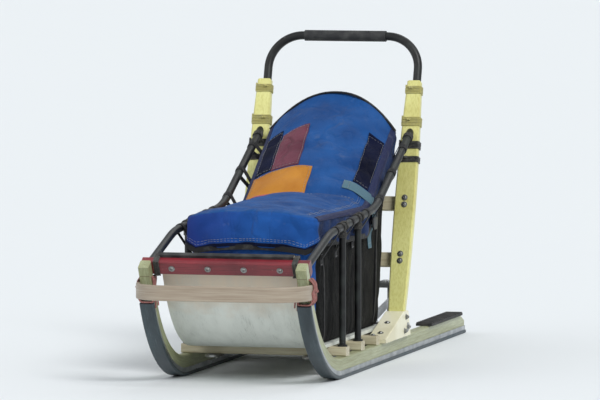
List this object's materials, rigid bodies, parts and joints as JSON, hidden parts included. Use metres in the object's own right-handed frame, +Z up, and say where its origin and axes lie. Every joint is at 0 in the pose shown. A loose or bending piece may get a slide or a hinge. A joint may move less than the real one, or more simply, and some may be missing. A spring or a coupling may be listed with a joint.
{
  "type": "dog sled",
  "caption": "Toboggan dog sled: upturned runners, curved plastic bed with a cargo bag, leaning posts with a driving bow, brush bow, claw brake and drag mat.",
  "frame": {"origin": "on the ground, at the middle of the overall length and width", "axes": "+Z up, -Y to the front where the brush bow is, +Y to the runner tails, +X to the sled's own left"},
  "size_m": [0.5444, 2.18, 0.989],
  "materials": {
    "rail_wood": "pale laminated ash, worn oil finish",
    "track_metal": "mill finish",
    "shoe_plastic": "dark blue-grey running plastic, scratched",
    "pad_rubber": "ribbed",
    "post_paint": "lemon-yellow paint",
    "foot_paint": "cream paint",
    "dark_tube": "black coat, worn",
    "steel": "plain",
    "member_wood": "oiled",
    "nose_paint": "dark red paint",
    "bed_plastic": "natural white sheet",
    "brush_wood": "tan laminate",
    "grip_rubber": "soft grip",
    "brake_metal": "worn",
    "mat_rubber": "lugged",
    "bag_fabric": "royal-blue coated pack cloth"
  },
  "bodies": {
    "root": {"runner_left": "rail_wood", "track_left": "track_metal", "shoe_left": "shoe_plastic", "foot_pad_left": "pad_rubber", "post_left": "post_paint", "post_foot_left": "foot_paint", "side_rail_left": "dark_tube", "strut_front_left": "dark_tube", "strut_middle_left": "dark_tube", "bridle_plate_left": "steel", "runner_right": "rail_wood", "track_right": "track_metal", "shoe_right": "shoe_plastic", "foot_pad_right": "pad_rubber", "post_right": "post_paint", "post_foot_right": "foot_paint", "side_rail_right": "dark_tube", "strut_front_right": "dark_tube", "strut_middle_right": "dark_tube", "bridle_plate_right": "steel", "cross_member_1": "member_wood", "cross_member_2": "member_wood", "cross_member_3": "member_wood", "rear_member": "member_wood", "lower_slat": "member_wood", "upper_slat": "member_wood", "nose_member": "nose_paint", "bed": "bed_plastic", "brush_bow": "brush_wood", "driving_bow": "dark_tube", "grip": "grip_rubber", "pivot_bar": "steel", "bag_body": "bag_fabric", "bag_cover": "bag_fabric"},
    "brake": {"brake_frame": "brake_metal", "brake_claws": "steel", "brake_pedal": "brake_metal"},
    "mat": {"mat_hinge": "steel", "drag_mat": "mat_rubber"}
  },
  "joints": [
    {"name": "brake_hinge", "type": "hinge", "parent": "root", "child": "brake", "pos_m": [0, 0.245, 0.09], "axis": [-1, 0, 0], "range_deg": [0, 10], "stiffness_Nm_per_rad": 20, "springref_deg": -20.05},
    {"name": "mat_hinge", "type": "hinge", "parent": "root", "child": "mat", "pos_m": [0, 0.245, 0.09], "axis": [1, 0, 0], "range_deg": [0, 60]}
  ]
}
